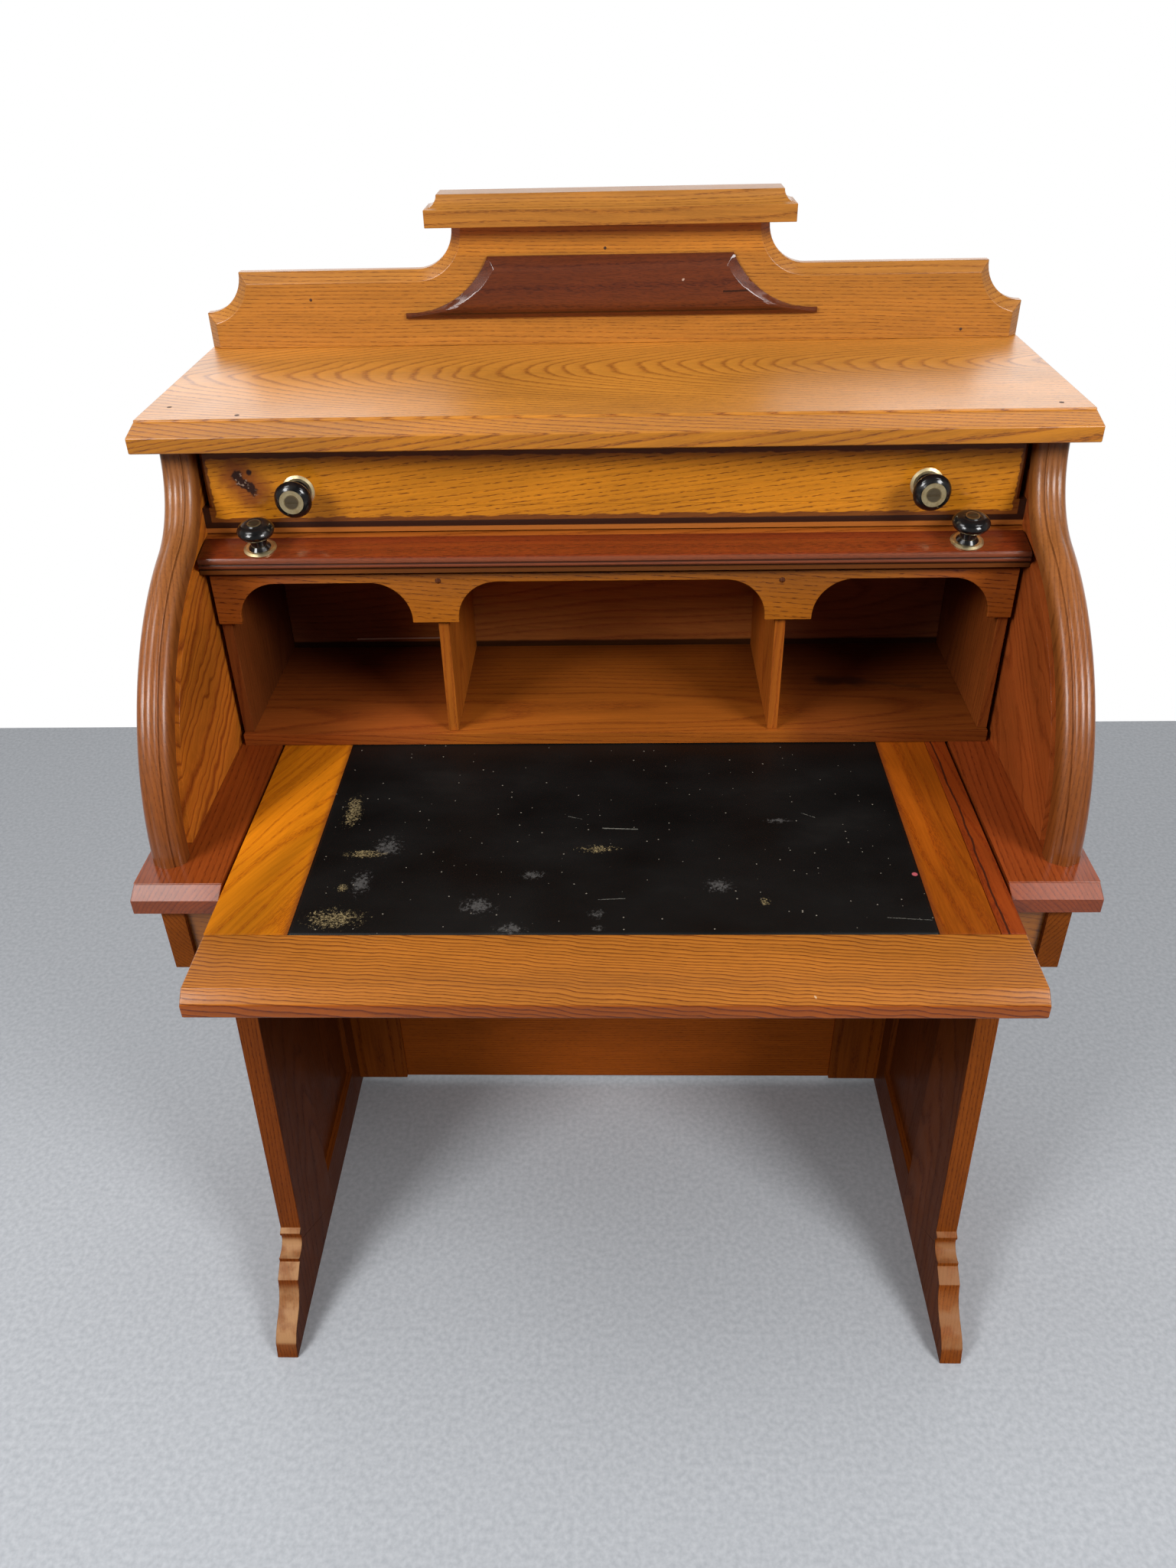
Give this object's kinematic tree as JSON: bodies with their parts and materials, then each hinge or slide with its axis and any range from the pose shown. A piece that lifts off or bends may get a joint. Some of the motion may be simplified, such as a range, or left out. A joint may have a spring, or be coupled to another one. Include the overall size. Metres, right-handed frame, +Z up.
{
  "type": "cylinder desk",
  "caption": "Small writing desk with a turning quarter-cylinder lid over pigeonholes, a drawer above, a leather-topped pull-out slide and framed ends with shaped feet.",
  "frame": {"origin": "middle of the box around the desk as it stands with the slide out, on the floor", "axes": "+X to the sitter's right, +Y to the back, +Z up"},
  "size_m": [0.84, 0.644, 1.151],
  "materials": {
    "golden_oak": "satin varnish",
    "brown_oak": "satin varnish",
    "slide_wood": "satin varnish",
    "inner_wood": "worn varnish",
    "secondary_wood": "bare",
    "dark_wood": "satin varnish",
    "ebonised_wood": "gloss black",
    "brass": "aged",
    "leather": "worn"
  },
  "bodies": {
    "case": {"crest_cap": "golden_oak", "drawer_rail": "brown_oak", "drawer_runners": "secondary_wood", "front_apron": "golden_oak", "left_apron": "brown_oak", "left_bed_board": "brown_oak", "left_case_side": "brown_oak", "left_end_panel": "brown_oak", "left_end_rail": "brown_oak", "left_front_leg": "brown_oak", "left_modesty_stile": "brown_oak", "left_pigeonhole_divider": "inner_wood", "left_pigeonhole_side": "inner_wood", "left_rear_stile": "brown_oak", "left_side_moulding": "brown_oak", "modesty_panel": "brown_oak", "pigeonhole_back": "inner_wood", "pigeonhole_back_slope": "inner_wood", "pigeonhole_floor": "inner_wood", "pigeonhole_top": "inner_wood", "pigeonhole_valance": "golden_oak", "rear_apron": "secondary_wood", "rear_bed_board": "brown_oak", "right_apron": "brown_oak", "right_bed_board": "brown_oak", "right_case_side": "brown_oak", "right_end_panel": "brown_oak", "right_end_rail": "brown_oak", "right_front_leg": "brown_oak", "right_modesty_stile": "brown_oak", "right_pigeonhole_divider": "inner_wood", "right_pigeonhole_side": "inner_wood", "right_rear_stile": "brown_oak", "right_side_moulding": "brown_oak", "slide_runners": "secondary_wood", "splashback": "golden_oak", "splashback_tablet": "dark_wood", "top_board": "golden_oak", "upper_back_panel": "secondary_wood"},
    "drawer": {"drawer_back": "secondary_wood", "drawer_bottom": "secondary_wood", "drawer_front": "golden_oak", "drawer_knob_handles": "ebonised_wood", "drawer_knob_rosettes": "brass", "drawer_knob_screws": "brass", "left_drawer_side": "secondary_wood", "right_drawer_side": "secondary_wood"},
    "roll": {"roll_knob_handles": "ebonised_wood", "roll_knob_rosettes": "brass", "roll_knob_screws": "brass", "roll_lip": "dark_wood", "roll_panel": "brown_oak"},
    "slide": {"slide_back_rail": "secondary_wood", "slide_core": "secondary_wood", "slide_edge_strip": "slide_wood", "slide_front_rail": "slide_wood", "slide_leather": "leather", "left_slide_stile": "slide_wood", "right_slide_stile": "slide_wood"}
  },
  "joints": [
    {"name": "drawer_pull", "type": "slide", "parent": "case", "child": "drawer", "axis": [0, -1, 0], "range_m": [0, 0.19]},
    {"name": "roll_turn", "type": "hinge", "parent": "case", "child": "roll", "pos_m": [0, 0.08896, 0.67], "axis": [1, 0, 0], "range_deg": [0, 70]},
    {"name": "slide_pull", "type": "slide", "parent": "case", "child": "slide", "axis": [0, -1, 0], "range_m": [-0.1234, 0.06]}
  ]
}
